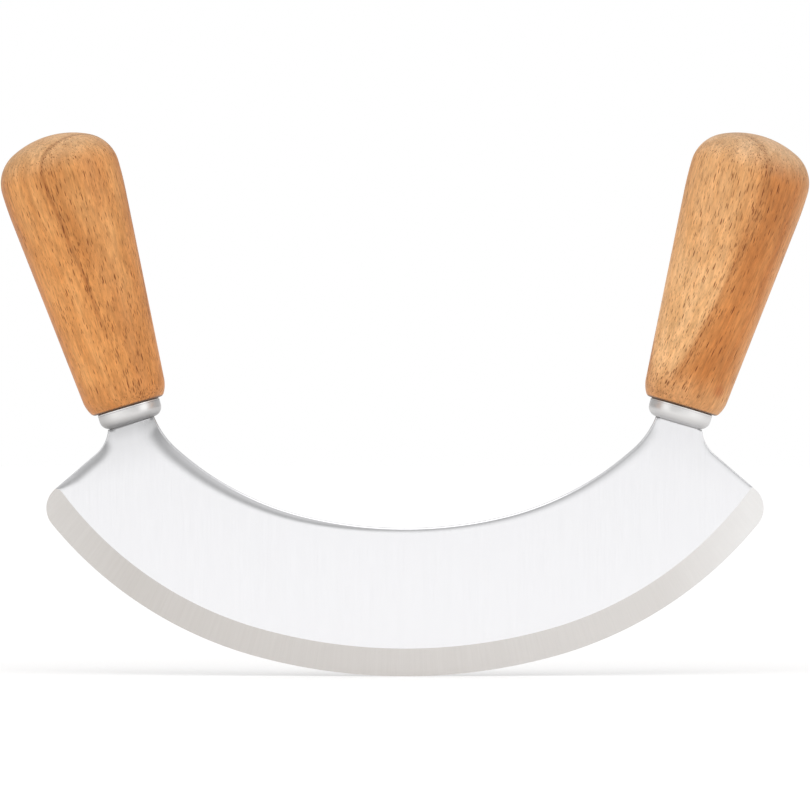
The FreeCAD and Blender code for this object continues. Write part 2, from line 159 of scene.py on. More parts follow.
# Light levels, 1 is white, and how far the floor's glow and the room's wall reach
FILL_LIGHT = 0.8
FLOOR_GLOW = (0.2, 0.39)
FLOOR_GLOW_REACH = 1.6
MIRRORED_GLOW = 0.15
ROOM_HEIGHTS = [(0.0, 1.08), (0.03, 1.08), (0.17, 0.36), (0.22, 0.36), (0.4, 0.7), (1.0, 0.7)]
ROOM_GREY = 0.42
WALL_END = (0.35, 0.8)
WHITE = (1, 1, 1, 1)

# Lamps: place, size and radiance
LAMPS = {
    "top_softbox": ((0, -0.6, 1.6), (1.4, 1.2), 1.2),
    "left_softbox": ((-1.3, -0.85, 0.6), (0.9, 1.2), 0.85),
    "right_softbox": ((1.3, -0.85, 0.6), (0.9, 1.2), 1.12),
}

# Floor
FLOOR_RADIUS = 4.0
FLOOR_SIDES = 96
FLOOR_TONES = ((0.8, 0.8, 0.8, 1), (0.82, 0.82, 0.82, 1))
FLOOR_CLOUD = (0.004, 2.0)
FLOOR_SHEEN = {"Roughness": 0.9, "Specular IOR Level": 0.0, "Emission Color": WHITE}

# Finishes are in millimetres. A ramp is its start, its end and, unless 0 and 1, its results there.
# A noise is scale, detail and roughness. Other pairs are what a noise's low and high ends give.
LEFT_TO_RIGHT = (-10, 10)
NOISE_CONTRAST = (0.3, 0.7)
FINE_LINES = (1.0, 4.0, 0.65)
BROAD_LINES = (0.16, 3.0, 0.55)
METAL = {"Metallic": 1.0}

# Blade faces: pale satin, with painted shade toward the necks and painted shadow at the corners under the
# ferrules
FACE_STROKES = (6.0, 2.0, 0.12)
FACE_TONES = ((0.93, 0.928, 0.945, 1), (0.94, 0.938, 0.955, 1))
FACE_LINE = (0.86, 0.86, 0.88, 1)
FACE_LINE_DEPTH = 0.1
FACE_GLOSS = (0.17, 0.22)
FACE_BUMP = {"Strength": 0.05, "Distance": 0.00002}
# painted shade toward the necks, more on the left one and beside its spine
NECK_SHADE_TONE = (0.5, 0.5, 0.505, 1)
NECK_SHADE_DEPTH = {LEFT: 0.34, RIGHT: 0.12}
NECK_SHADE_ALONG = (-14, 1)
SPINE_SHADE_ACROSS = (-4.5, 0.5, 0.3, 0.0)
SPINE_SHADE_ALONG = (-9, -1)
NECK_END_SHADE_ALONG = (-4, 0.5)
NECK_END_SHADE_DEPTH = 0.32
BRIGHT_END_ALONG = (-0.45, -0.2, 1.0, 0.0)
# painted shadow at the two corners of the neck under each ferrule
CORNER_SHADOW_TONE = (0.2, 0.195, 0.19, 1)
CORNER_SHADOW_ACROSS = (4.7, 5.3, 0.0, 0.7)
CORNER_SHADOW_ALONG = (-0.5, -0.15)
CORNER_ROUGHNESS = 0.3

# Ground bevel: painted light levels from tip to tip, warmer where darker
BEVEL_STROKES = (7.0, 0.5, 0.15)
BEVEL_SPAN = 92.0
# painted light along the bevel, brighter toward the tips
BEVEL_LIGHT_LEVELS = [(0.0, 0.72), (0.12, 0.64), (0.5, 0.71), (0.85, 0.74), (0.97, 0.89)]
BEVEL_WARMTH = (0.0, 0.13, 0.26)
BEVEL_PALE = (0.9, 0.88, 0.86, 1)
BEVEL_LINE = (0.56, 0.54, 0.53, 1)
BEVEL_LINE_DEPTH = 0.1
BEVEL_GLOSS = (0.3, 0.38)
BEVEL_BUMP = {"Strength": 0.1, "Distance": 0.00003}

# Ferrules: painted light levels from the foot to the lip, painted shade on the outer side
FERRULE_STROKES = (0.12, 0.12, 9.0)
# painted shade at the drawn corner and a painted highlight on the lip
FERRULE_LIGHT_LEVELS = [
    (0.0, 0.26), (0.06, 0.28), (0.18, 0.42), (0.42, 0.68), (0.6, 0.81),
    (0.82, 0.81), (0.84, 0.58), (0.87, 0.58), (0.89, 0.94), (0.97, 0.94),
]
FERRULE_TINT = (1.0, 0.985, 0.975)
FERRULE_PALE = (0.86, 0.85, 0.84, 1)
FERRULE_LINE_DEPTH = 0.12
# painted light: the right ferrule paler than the left
FERRULE_SIDE_LIGHT = {LEFT: 0.0, RIGHT: 0.4}
FERRULE_GLOSS = (0.36, 0.44)
FERRULE_BUMP = {"Strength": 0.15, "Distance": 0.00003}
# painted shade on the outer side of each ferrule
OUTER_SHADE_ACROSS = (3.0, 8.0)
OUTER_SHADE_DEPTH = {LEFT: 0.55, RIGHT: 0.15}
OUTER_SHADE_TONE = (0.42, 0.41, 0.4, 1)

# Wood of each handle: colours and pores by place across the growth rings, lean of the grain, marks
WOODS = {
    LEFT: {
        "rings": [
            (-15.0, (206, 136, 72)), (-9.0, (214, 143, 76)), (-4.5, (207, 136, 71)),
            (-3.0, (218, 148, 80)), (2.0, (229, 161, 95)), (4.6, (222, 153, 88)),
            (6.2, (230, 163, 98)), (8.6, (222, 153, 88)), (10.2, (213, 146, 83)),
            (11.2, (205, 139, 78)), (12.4, (211, 145, 84)), (13.6, (224, 160, 97)),
            (15.0, (217, 150, 88)),
        ],
        "pores": [
            (-15.0, 0.6), (5.0, 0.55), (8.6, 0.45), (9.6, 0.9), (11.6, 0.85), (12.6, 0.55), (15.0, 0.6),
        ],
        "ring_turn": math.radians(49.5),
        "grain_slope": 0.0,
        "grain_bend": 0.0,
        "end_grain_light_tone": (216, 174, 128),
        "foot_tone": (197, 129, 72),
        "streak": 9.5,
        "streak_depth": (0.4, 0.9),
        "streak_foot": (18.0, 32.0),
    },
    RIGHT: {
        "rings": [
            (-15.0, (231, 174, 117)), (-11.0, (230, 172, 115)), (-9.6, (223, 161, 103)),
            (-7.8, (217, 151, 92)), (-6.6, (207, 140, 81)), (-5.4, (202, 132, 72)),
            (-2.6, (199, 128, 68)), (0.6, (204, 134, 74)), (2.0, (197, 126, 67)),
            (3.6, (205, 138, 79)), (6.0, (212, 148, 90)), (9.0, (222, 163, 106)),
            (15.0, (226, 170, 114)),
        ],
        "pores": [
            (-15.0, 0.8), (-9.0, 0.85), (-8.2, 1.1), (-6.6, 1.1), (-5.6, 0.4), (0.0, 0.3), (15.0, 0.5),
        ],
        "ring_turn": math.radians(-42),
        "grain_slope": 0.057,
        "grain_bend": 0.0021,
        "end_grain_light_tone": (214, 178, 139),
        "foot_tone": (226, 175, 124),
        "streak": -7.4,
        "streak_depth": (0.0, 0.6),
        "streak_foot": (8.0, 14.0),
        "pale_foot": (238, 188, 134),
        "knot": (7.5, -7.6, 10.7),
    },
}

# Wood figure: stretch across and along the grain, detail and roughness of each noise
WOOD_NOISE = {
    "drift": ((0.09, 0.09, 0.03), 2.0, 0.5),
    "fibre": ((3.2, 3.2, 0.09), 4.0, 0.6),
    "flake": ((1.2, 1.2, 0.3), 3.0, 0.6),
    "mottle": ((0.26, 0.26, 0.09), 3.0, 0.55),
    "cluster": ((0.3, 0.3, 0.08), 2.0, 0.5),
}
YEAR_NOISE = (0.8, 3.0, 0.6)
FLAKE_CONTRAST = (0.25, 0.75)
RING_REACH = 16.0
RING_WARP = 2.6
GRAIN_MIDDLE = 40.0
FIGURE_SHADES = {"Mottle": (0.9, 1.09), "Flake": (0.84, 1.15), "Fibre": (0.68, 1.34), "Band": (0.92, 1.07)}
WARM_SHADE = (1.03, 0.95, 0.84, 1)

# Pores: stretch in cells per millimetre, reach in cells and depth of colour of each kind
PORE_KINDS = [
    ((2.0, 2.0, 0.19), 0.28, 1.0),
    ((2.5, 2.5, 0.3), 0.3, 0.95),
    ((3.0, 3.0, 0.55), 0.32, 0.5),
]
PORE_CHANCE = (-0.05, 0.05)
PORE_REACHES = (0.6, 1.25)
PORE_CORE = 0.55
PORE_DEPTHS = (0.45, 1.0)
PORE_CROWD = (0.3, 0.6, 0.5, 1.1)
PORE_SHADE = (0.25, 0.13, 0.06, 1)
PORE_ROUGHNESS = 0.2

# Wood by height above the seat, by place across the rings and by distance from a mark
# pale dome: end grain colour and painted light from above
END_GRAIN_LIGHT_HEIGHT = (64, 73, 0.0, 0.85)
# painted shade on the wood under the dome
UNDER_DOME_SHADE_HEIGHT = (38, 58, 1.0, 0.92)
PALE_FOOT_HEIGHT = (24, 62, 0.85, 0.0)
PALE_FOOT_RINGS = (-9.0, -7.0, 1.0, 0.0)
FOOT_TONE_HEIGHT = (7, 15, 0.45, 0.0)
# painted shadow where the handle's foot meets the ferrule
FOOT_SHADOW_RISE = (0.05, 0.45)
FOOT_SHADOW_DEPTH = 0.85
FOOT_SHADOW_TONE = (0.05, 0.022, 0.01, 1)
STREAK_ACROSS = (0.1, 0.7, 1.0, 0.0)
STREAK_SHADE = (0.62, 0.52, 0.44, 1)
STREAK_PORES = (0.4, 1.4, 1.25, 1.0)
KNOT_REACH = (0.4, 2.4, 0.6, 0.0)
KNOT_TONE = (176, 96, 46)
WOOD_GLOSS = (0.36, 0.5)
WOOD_SHEEN = {"Specular IOR Level": 0.28}
WOOD_BUMP = {"Strength": 0.35, "Distance": 0.00012}
FIBRE_RELIEF = 0.3

# Resin
RESIN_CLOUD = (0.6, 3.0, 0.6)
RESIN_TONES = ((0.34, 0.26, 0.15, 1), (0.52, 0.43, 0.28, 1))
RESIN_GLOSS = (0.35, 0.55)


# Places in the X-Z plane
def flat(place, depth=0.0):
    return Vector((place[0], depth, place[1]))


def across(place):
    return Vector((place.x, place.z))


def bearing(place, centre):
    return math.atan2(place[0] - centre[0], place[1] - centre[1])


def toward(start, end, distance):
    return start + (end - start).normalized() * distance


def circle_point(centre, radius, x, half):
    # the point at x on the lower or upper half of a circle
    return Vector((x, centre.y + half * math.sqrt(radius**2 - (x - centre.x) ** 2)))


def touching_centre(joint, centre, end):
    # centre of the arc that runs smoothly on from another arc's joint to an end
    way = (centre - joint).normalized()
    chord = end - joint
    return joint + way * (chord.length_squared / (2 * chord.dot(way)))


def ease(share):
    share = min(max(share, 0.0), 1.0)
    return share * share * (3 - 2 * share)


# Paths in the X-Z plane
def run_on(bm, path, end, steps=1):
    # adds a straight stretch to a path
    stride = (flat(end) - path[-1].co) / steps
    for _ in range(steps):
        vert = bmesh.ops.extrude_vert_indiv(bm, verts=[path[-1]])["verts"][0]
        vert.co += stride
        path.append(vert)


def swing_on(bm, path, centre, end, steps):
    # adds an arc to a path
    turn = bearing(end, centre) - bearing(across(path[-1].co), centre)
    turn = math.remainder(turn, 2 * math.pi)
    known = len(bm.verts)
    bmesh.ops.spin(
        bm, geom=[path[-1]], cent=flat(centre), axis=(0, 1, 0), angle=turn, steps=steps, use_merge=False
    )
    bm.verts.ensure_lookup_table()
    path.extend(bm.verts[known:])


def chain_edges(bm, chain):
    return [bm.edges.get(pair) for pair in zip(chain, chain[1:])]


def extrude_chain(bm, chain, material):
    made = bmesh.ops.extrude_edge_only(bm, edges=chain_edges(bm, chain))["geom"]
    fresh = {item for item in made if isinstance(item, bmesh.types.BMVert)}
    for item in made:
        if isinstance(item, bmesh.types.BMFace):
            item.material_index = material
            item.smooth = True
    copies = []
    for vert in chain:
        near = [edge.other_vert(vert) for edge in vert.link_edges]
        copies.append(next(other for other in near if other in fresh))
    return copies


def new_piece(name, bm, materials, crease_angle):
    for edge in bm.edges:
        first, second = edge.link_faces
        alike = first.material_index == second.material_index
        edge.smooth = alike and edge.calc_face_angle() < crease_angle
    mesh = bpy.data.meshes.new(name)
    bm.to_mesh(mesh)
    bm.free()
    for material in materials:
        mesh.materials.append(material)
    piece = bpy.data.objects.new(name, mesh)
    bpy.context.scene.collection.objects.link(piece)
    return piece


# Seat
SEAT_WAY = Vector((math.cos(LEAN), -math.sin(LEAN)))
HANDLE_WAY = Vector((math.sin(LEAN), math.cos(LEAN)))


def seat_point(across_seat, up_axis):
    return SEAT + SEAT_WAY * across_seat + HANDLE_WAY * up_axis


# Blade outline, from the middle of the edge round the right horn to the middle of the spine
EDGE_MIDDLE = Vector((0.0, EDGE_MIDDLE_RADIUS))
EDGE_JOINT = circle_point(EDGE_MIDDLE, EDGE_MIDDLE_RADIUS, EDGE_MIDDLE_HALF, LOWER)
EDGE_END_CENTRE = toward(EDGE_JOINT, EDGE_MIDDLE, EDGE_END_RADIUS)
TIP_CENTRE = circle_point(EDGE_END_CENTRE, EDGE_END_RADIUS - TIP_RADIUS, BLADE_HALF - TIP_RADIUS, LOWER)
TIP_START = toward(EDGE_END_CENTRE, TIP_CENTRE, EDGE_END_RADIUS)
SHOULDER_WAY = Vector((-math.cos(SHOULDER_SLOPE), math.sin(SHOULDER_SLOPE)))
SHOULDER_INWARD = Vector((-SHOULDER_WAY.y, SHOULDER_WAY.x))
TIP_END = TIP_CENTRE - SHOULDER_INWARD * TIP_RADIUS
NECK_CORNER = seat_point(NECK_OUTER, SEAT_LIFT)
SPINE_CORNER = seat_point(-NECK_INNER, SEAT_LIFT)


def shoulder_end():
    # where the neck's arc, on its way to the corner of the seat, leaves the shoulder
    offset = NECK_CORNER - TIP_END
    beyond = -offset.dot(SHOULDER_INWARD)
    reach = math.sqrt(NECK_RADIUS**2 - (NECK_RADIUS - beyond) ** 2)
    return TIP_END + SHOULDER_WAY * (offset.dot(SHOULDER_WAY) - reach)


SHOULDER_TOP = shoulder_end()
NECK_CENTRE = SHOULDER_TOP - SHOULDER_INWARD * NECK_RADIUS
SPINE_MIDDLE = Vector((0.0, BLADE_DEPTH + SPINE_MIDDLE_RADIUS))
SPINE_FOOT = Vector((0.0, BLADE_DEPTH))
SPINE_JOINT = circle_point(SPINE_MIDDLE, SPINE_MIDDLE_RADIUS, SPINE_MIDDLE_HALF, LOWER)
SPINE_END_CENTRE = toward(SPINE_JOINT, SPINE_MIDDLE, SPINE_END_RADIUS)
SPINE_KNEE = circle_point(SPINE_END_CENTRE, SPINE_END_RADIUS, SPINE_KNEE_HALF, LOWER)
SPINE_TOP_CENTRE = touching_centre(SPINE_KNEE, SPINE_END_CENTRE, SPINE_CORNER)

# Blade
FACE, BEVEL = 0, 1
BEVEL_REACH = EDGE_END_RADIUS - BEVEL_WIDTH
BEVEL_SLOPE = (HALF_PLATE - EDGE_HALF) / BEVEL_WIDTH


def bevel_depth(place):
    beyond = (place - EDGE_END_CENTRE).length - BEVEL_REACH
    return BEVEL_SLOPE * min(max(beyond, 0.0), BEVEL_WIDTH)


def rim_section(width, drop, rounding):
    # inward distance and depth below the face, from the outline to the flat of the blade
    section = []
    for step in range(ROUND_STEPS + 1):
        turn = math.pi / 2 * step / ROUND_STEPS
        section.append((rounding * (1 - math.cos(turn)), drop + rounding * (1 - math.sin(turn))))
    for step in range(1, DUB_STEPS + 1):
        left = 1 - step / DUB_STEPS
        section.append((width - (width - rounding) * left, drop * left**RIM_FALL))
    return section


def inward_shift(before, here, after, first, second):
    # shift that lies first inside the edge before and second inside the edge after
    way_in = (here - before).normalized()
    way_out = (after - here).normalized()
    normal_in = Vector((-way_in.y, way_in.x))
    normal_out = Vector((-way_out.y, way_out.x))
    if way_in.dot(way_out) > NEARLY_STRAIGHT:
        return (normal_in + normal_out).normalized() * (first + second) / 2
    share = normal_in.x * normal_out.y - normal_in.y * normal_out.x
    return Vector((
        (first * normal_out.y - second * normal_in.y) / share,
        (second * normal_in.x - first * normal_out.x) / share,
    ))


def tip_drop(side):
    return TIP_TILT[side] * (RIM_TIP[side] - RIM_ROUND) / RIM_FALL


def join_point(distance, depth):
    # where the bevel cuts the rim, a distance inside the shoulder and a depth below the face
    offset = TIP_END + SHOULDER_INWARD * distance - EDGE_END_CENTRE
    reach = BEVEL_REACH + depth / BEVEL_SLOPE
    along = offset.dot(SHOULDER_WAY)
    root = math.sqrt(along * along - offset.length_squared + reach * reach)
    return EDGE_END_CENTRE + offset + SHOULDER_WAY * (-along - root)


def join_column(side):
    section = rim_section(RIM_TIP[side], tip_drop(side), 0.0)
    return [(join_point(distance, depth), depth) for distance, depth in section]


def trace_outline(bm, side):
    # the path, how much of it is cutting edge, where the bevel ends and the two corners of the seat
    path = [bm.verts.new((0, 0, 0))]
    swing_on(bm, path, EDGE_MIDDLE, EDGE_JOINT, EDGE_MIDDLE_STEPS)
    swing_on(bm, path, EDGE_END_CENTRE, TIP_START, EDGE_END_STEPS)
    edge_count = len(path)
    swing_on(bm, path, TIP_CENTRE, TIP_END, TIP_STEPS)
    run_on(bm, path, join_point(0.0, tip_drop(side)))
    join = len(path) - 1
    run_on(bm, path, across(path[-1].co) + SHOULDER_WAY * JOIN_FADE, JOIN_STEPS)
    run_on(bm, path, SHOULDER_TOP, SHOULDER_STEPS - JOIN_STEPS)
    swing_on(bm, path, NECK_CENTRE, NECK_CORNER, NECK_STEPS)
    seat_start = len(path) - 1
    for stop in (TANG_HALF, -TANG_HALF, -NECK_INNER):
        run_on(bm, path, seat_point(stop, SEAT_LIFT))
    seat_end = len(path) - 1
    swing_on(bm, path, SPINE_TOP_CENTRE, SPINE_KNEE, SPINE_TOP_STEPS)
    swing_on(bm, path, SPINE_END_CENTRE, SPINE_JOINT, SPINE_END_STEPS)
    swing_on(bm, path, SPINE_MIDDLE, SPINE_FOOT, SPINE_MIDDLE_STEPS)
    return path, edge_count, join, seat_start, seat_end


def add_bevel(bm, low, edge_count, side):
    # land of the cutting edge, then the ground bevel up to the face
    land = extrude_chain(bm, low, BEVEL)
    for vert in land:
        vert.co.y = bevel_depth(across(vert.co)) - HALF_PLATE
    for vert in land[:edge_count]:
        vert.co.y = -EDGE_HALF
    top = extrude_chain(bm, land, BEVEL)
    for vert in top[:edge_count]:
        centre = EDGE_MIDDLE if vert.co.x < EDGE_JOINT.x else EDGE_END_CENTRE
        vert.co = flat(toward(across(vert.co), centre, BEVEL_WIDTH))
    start = bearing(across(top[edge_count - 1].co), EDGE_END_CENTRE)
    finish = bearing(join_point(RIM_TIP[side], 0.0), EDGE_END_CENTRE)
    rest = top[edge_count:]
    turn = math.remainder(finish - start, 2 * math.pi)
    for number, vert in enumerate(rest, 1):
        angle = start + turn * number / len(rest)
        way = Vector((math.sin(angle), math.cos(angle)))
        vert.co = flat(EDGE_END_CENTRE + way * BEVEL_REACH)
    for vert in top:
        vert.co.y = -HALF_PLATE
    return land, top


def rim_sections(places, seat_range, side):
    # a section for the edge before and the edge after each point of the rim
    seat_section = rim_section(SEAT_BAND, 0.0, SEAT_ROUND)
    sections = []
    for number, place in enumerate(places):
        from_tip = (place - places[0]).length
        if number < seat_range[1]:
            rounding = RIM_ROUND
            growth = ease(from_tip / RIM_WIDENING)
            width = RIM_TIP[side] + (RIM_SHOULDER[side] - RIM_TIP[side]) * growth
            tilt = TIP_TILT[side] + (RIM_TILT[side] - TIP_TILT[side]) * growth
        else:
            rounding = SPINE_ROUND
            growth = max(place.x / places[seat_range[1]].x, 0.0) ** SPINE_GROWTH
            width = RIM_MIDDLE + (RIM_SPINE[side] - RIM_MIDDLE) * growth
            growth = ease(place.x / TILT_GROWTH)
            tilt = SPINE_TILT[RIGHT] + (SPINE_TILT[side] - SPINE_TILT[RIGHT]) * growth
        to_seat = min((place - places[corner]).length for corner in seat_range)
        width *= RIM_AT_SEAT + (1 - RIM_AT_SEAT) * ease(to_seat / RIM_NARROWING)
        drop = tilt * (width - rounding) / RIM_FALL
        fade = ease(from_tip / JOIN_FADE)
        side_section = rim_section(width, drop, rounding * fade)
        before = seat_section if seat_range[0] < number <= seat_range[1] else side_section
        after = seat_section if seat_range[0] <= number < seat_range[1] else side_section
        sections.append((before, after))
    return sections


def keep_between_corners(row, seat_range):
    # the points of the tang's root stay between the inner corners of the seat
    offsets = [(across(vert.co) - SEAT).dot(SEAT_WAY) for vert in row]
    high = offsets[seat_range[0]] - SEAT_CORNER_GAP
    low = offsets[seat_range[1]] + SEAT_CORNER_GAP
    for number in range(seat_range[0] + 1, seat_range[1]):
        move = min(max(offsets[number], low), high) - offsets[number]
        row[number].co += flat(SEAT_WAY * move)


def add_rim(bm, rim, seat_range, side):
    # land round the outline, then the rounded rim up to the face
    places = [across(vert.co) for vert in rim]
    sections = rim_sections(places, seat_range, side)
    column = join_column(side)
    shoulder = (SHOULDER_TOP - places[0]).length
    row = rim
    rows = []
    for level in range(ROUND_STEPS + DUB_STEPS + 1):
        row = extrude_chain(bm, row, FACE)
        slant = (column[level][0] - places[0]).dot(SHOULDER_WAY)
        for number, vert in enumerate(row):
            before, after = sections[number]
            here = places[number]
            if number == 0:
                vert.co = flat(column[level][0], column[level][1] - HALF_PLATE)
                continue
            if number == len(places) - 1:
                shift = Vector((0.0, -before[level][0]))
            else:
                neighbours = places[number - 1], here, places[number + 1]
                shift = inward_shift(*neighbours, before[level][0], after[level][0])
            if number < SHOULDER_STEPS:
                shift += SHOULDER_WAY * slant * (1 - (here - places[0]).length / shoulder)
            vert.co = flat(here + shift, max(before[level][1], after[level][1]) - HALF_PLATE)
        keep_between_corners(row, seat_range)
        rows.append(row)
    return rows[0]


def add_tang(bm, root):
    # drawn out of the seat along the handle, open at the middle of its thickness
    made = bmesh.ops.extrude_face_region(bm, geom=[root])["geom"]
    for vert in (item for item in made if isinstance(item, bmesh.types.BMVert)):
        offset = (across(vert.co) - SEAT).dot(SEAT_WAY)
        vert.co = flat(seat_point(offset * TANG_END_SHARE, TANG_LENGTH), vert.co.y)
    middle = [face for face in bm.faces if all(abs(vert.co.y) < ON_FACE for vert in face.verts)]
    bmesh.ops.delete(bm, geom=middle + [root], context="FACES")


def match_seam(bm, land_end, top_end, side):
    # the bevel's last edge takes the same points as the rim that meets it
    seam = bm.edges.get((land_end, top_end))
    corner = land_end.co.copy()
    cuts = bmesh.ops.subdivide_edges(bm, edges=[seam], cuts=DUB_STEPS - 1)["geom_inner"]
    points = [item for item in cuts if isinstance(item, bmesh.types.BMVert)]
    points.sort(key=lambda vert: (vert.co - corner).length)
    for vert, (place, depth) in zip(points, join_column(side)[ROUND_STEPS + 1 :]):
        vert.co = flat(place, depth - HALF_PLATE)
    bmesh.ops.remove_doubles(bm, verts=bm.verts[:], dist=WELD)


def close_face(bm):
    # fills the flat of the blade between the bevel, the rim and the middle
    rim_edges = [
        edge for edge in bm.edges
        if edge.is_boundary and all(abs(vert.co.y + HALF_PLATE) < ON_FACE for vert in edge.verts)
    ]
    ends = [vert for edge in rim_edges for vert in edge.verts if abs(vert.co.x) < WELD]
    closing = bm.edges.new(ends)
    bmesh.ops.edgeloop_fill(bm, edges=rim_edges + [closing], mat_nr=FACE, use_smooth=False)


def half_blade(side):
    # front half of one side, from the middle of the blade to the horn
    bm = bmesh.new()
    path, edge_count, join, seat_start, seat_end = trace_outline(bm, side)
    land, top = add_bevel(bm, path[: join + 1], edge_count, side)
    seat_top = add_rim(bm, path[join:], (seat_start - join, seat_end - join), side)
    tang_root = {*path[seat_start + 1 : seat_end], *seat_top[seat_start + 1 - join : seat_end - join]}
    root_faces = path[seat_start + 1].link_faces
    add_tang(bm, next(face for face in root_faces if set(face.verts) == tang_root))
    match_seam(bm, land[-1], top[-1], side)
    close_face(bm)
    bmesh.ops.scale(bm, vec=(side, 1, 1), verts=bm.verts[:])
    return bm


def build_blade(materials):
    whole = bmesh.new()
    for side in (LEFT, RIGHT):
        half = half_blade(side)
        carrier = bpy.data.meshes.new("half_blade")
        half.to_mesh(carrier)
        half.free()
        whole.from_mesh(carrier)
        bpy.data.meshes.remove(carrier)
    bmesh.ops.remove_doubles(whole, verts=whole.verts[:], dist=WELD)
    bmesh.ops.mirror(
        whole, geom=whole.verts[:] + whole.edges[:] + whole.faces[:],
        matrix=Matrix.Identity(4), merge_dist=WELD, axis="Y",
    )
    bmesh.ops.recalc_face_normals(whole, faces=whole.faces[:])
    return new_piece("blade_ground", whole, materials, BLADE_CREASE)


# Turned pieces
def spin_full(bm):
    bmesh.ops.spin(
        bm, geom=bm.verts[:] + bm.edges[:], cent=(0, 0, 0), axis=(0, 0, 1),
        angle=2 * math.pi, steps=TURNED_STEPS, use_merge=True,
    )
    bmesh.ops.remove_doubles(bm, verts=bm.verts[:], dist=WELD)


def stand_on_seat(bm, side, lift=0.0):
    turn = Matrix.Rotation(LEAN * side, 4, "Y")
    seat = Matrix.Translation((SEAT.x * side, 0, SEAT.y))
    up = Matrix.Translation((0, 0, lift))
    bmesh.ops.transform(bm, matrix=seat @ turn @ up, verts=bm.verts[:])
    for face in bm.faces:
        face.smooth = True
    bmesh.ops.recalc_face_normals(bm, faces=bm.faces[:])


# Handle outline, from the top of the dome to the foot
DOME_CENTRE = Vector((0.0, HANDLE_TOP - DOME_RADIUS))
CROWN_CENTRE = circle_point(DOME_CENTRE, DOME_RADIUS - CROWN_RADIUS, BELLY_RADIUS - CROWN_RADIUS, UPPER)
BELLY_CENTRE = Vector((BELLY_RADIUS - BELLY_CURVE, CROWN_CENTRE.y))
FLANK_OUT = Vector((math.cos(FLANK_SLOPE), -math.sin(FLANK_SLOPE)))
FLANK_UP = Vector((math.sin(FLANK_SLOPE), math.cos(FLANK_SLOPE)))
FOOT_CENTRE = Vector((FOOT_HALF, HANDLE_FOOT + FOOT_ROUND))


def foot_ease_centre():
    # centre of the arc that touches both the flank and the round of the foot
    out = (BELLY_CENTRE - FOOT_CENTRE).dot(FLANK_OUT) + BELLY_CURVE - FOOT_EASE
    up = math.sqrt((FOOT_EASE - FOOT_ROUND) ** 2 - out**2)
    return FOOT_CENTRE + FLANK_OUT * out + FLANK_UP * up


EASE_CENTRE = foot_ease_centre()


def build_handle(side, material):
    bm = bmesh.new()
    path = [bm.verts.new((0, 0, HANDLE_TOP))]
    swing_on(bm, path, DOME_CENTRE, toward(DOME_CENTRE, CROWN_CENTRE, DOME_RADIUS), DOME_STEPS)
    swing_on(bm, path, CROWN_CENTRE, (BELLY_RADIUS, CROWN_CENTRE.y), CROWN_STEPS)
    swing_on(bm, path, BELLY_CENTRE, BELLY_CENTRE + FLANK_OUT * BELLY_CURVE, BELLY_STEPS)
    run_on(bm, path, EASE_CENTRE + FLANK_OUT * FOOT_EASE, FLANK_STEPS)
    swing_on(bm, path, EASE_CENTRE, toward(EASE_CENTRE, FOOT_CENTRE, FOOT_EASE), EASE_STEPS)
    swing_on(bm, path, FOOT_CENTRE, (FOOT_HALF, HANDLE_FOOT), FOOT_STEPS)
    for stop in (
        (TENON_RADIUS, HANDLE_FOOT),
        (TENON_RADIUS, TENON_END + TENON_CORNER),
        (TENON_RADIUS - TENON_CORNER, TENON_END),
        (BORE_RADIUS, TENON_END),
        (BORE_RADIUS, BORE_END),
        (0.0, BORE_END),
    ):
        run_on(bm, path, stop)
    spin_full(bm)
    bmesh.ops.scale(bm, vec=(HANDLE_EASE,) * 3, verts=bm.verts[:])
    stand_on_seat(bm, side)
    return new_piece(f"handle_{SIDE_NAMES[side]}_turned", bm, [material], HANDLE_CREASE)


def add_slot_edges(bm, height):
    corners = []
    for x, y in ((-1, -1), (1, -1), (1, 1), (-1, 1)):
        corners.append(bm.verts.new((x * SLOT_HALF[0], y * SLOT_HALF[1], height)))
    return [bm.edges.new(pair) for pair in zip(corners, corners[1:] + corners[:1])]


def build_ferrule(side, material):
    bm = bmesh.new()
    inner = FERRULE_RADIUS - FERRULE_WALL
    middle = FERRULE_RADIUS - FERRULE_CORNER
    cup_corner = FERRULE_FLOOR + FERRULE_CORNER - FERRULE_WALL
    path = [bm.verts.new((middle, 0, 0))]
    swing_on(bm, path, (middle, FERRULE_CORNER), (FERRULE_RADIUS, FERRULE_CORNER), FERRULE_CORNER_STEPS)
    run_on(bm, path, (FERRULE_RADIUS, FERRULE_HEIGHT - FERRULE_CHAMFER), FERRULE_WALL_STEPS)
    run_on(bm, path, (FERRULE_RADIUS - FERRULE_CHAMFER, FERRULE_HEIGHT))
    run_on(bm, path, (inner, FERRULE_HEIGHT))
    run_on(bm, path, (inner, cup_corner), CUP_WALL_STEPS)
    swing_on(bm, path, (middle, cup_corner), (middle, FERRULE_FLOOR), CUP_CORNER_STEPS)
    spin_full(bm)
    open_edges = [edge for edge in bm.edges if edge.is_boundary]
    below = [edge for edge in open_edges if edge.verts[0].co.z < WELD]
    above = [edge for edge in open_edges if edge.verts[0].co.z > WELD]
    slot_below = add_slot_edges(bm, 0.0)
    slot_above = add_slot_edges(bm, FERRULE_FLOOR)
    for ring, slot in ((below, slot_below), (above, slot_above)):
        bmesh.ops.triangle_fill(bm, edges=ring + slot, use_beauty=True, normal=(0, 0, 1))
    bmesh.ops.bridge_loops(bm, edges=slot_below + slot_above)
    stand_on_seat(bm, side, SEAT_LIFT)
    return new_piece(f"ferrule_{SIDE_NAMES[side]}_turned", bm, [material], FERRULE_CREASE)


# Colours
def srgb(red, green, blue):
    linear = []
    for value in (red, green, blue):
        share = value / 255
        linear.append(share / 12.92 if share <= 0.04045 else ((share + 0.055) / 1.055) ** 2.4)
    return (*linear, 1.0)


def grey(level):
    return (level, level, level, 1.0)


